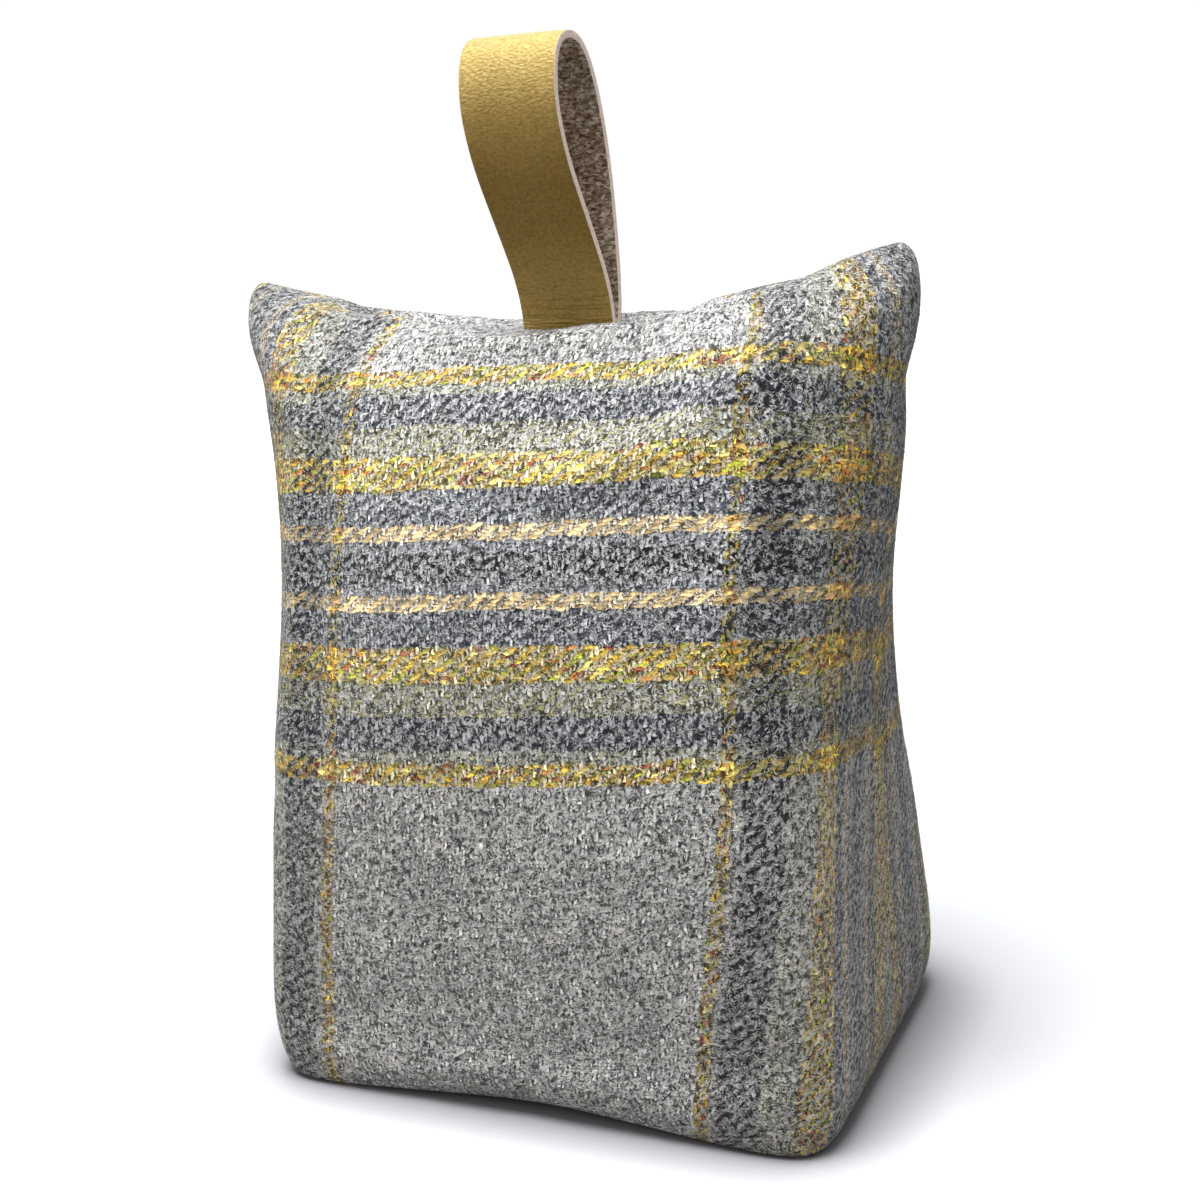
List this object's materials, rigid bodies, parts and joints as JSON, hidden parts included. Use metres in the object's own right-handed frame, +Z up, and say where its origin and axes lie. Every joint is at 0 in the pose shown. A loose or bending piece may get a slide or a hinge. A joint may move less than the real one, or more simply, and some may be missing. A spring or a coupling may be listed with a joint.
{
  "type": "weighted fabric door stop",
  "caption": "Box-bottomed wool pouch with a heavy fill, closed along the top by a straight seam between raised ears, with a teardrop loop of leather strap sewn in as a handle.",
  "frame": {"origin": "centre of the flat base, on the surface that the door stop stands on", "axes": "+Z up, -Y the front, which the handle leans towards, and X along the top seam"},
  "size_m": [0.1812, 0.1208, 0.2642],
  "materials": {
    "wool_tweed": "fuzzy woollen twill, grey with a yellow and beige check",
    "strap_leather": "smooth vegetable tanned grain outside, rough flesh side inside, raw cut edges"
  },
  "bodies": {
    "root": {"weighted_pouch": "wool_tweed", "leather_handle": "strap_leather"}
  },
  "joints": []
}
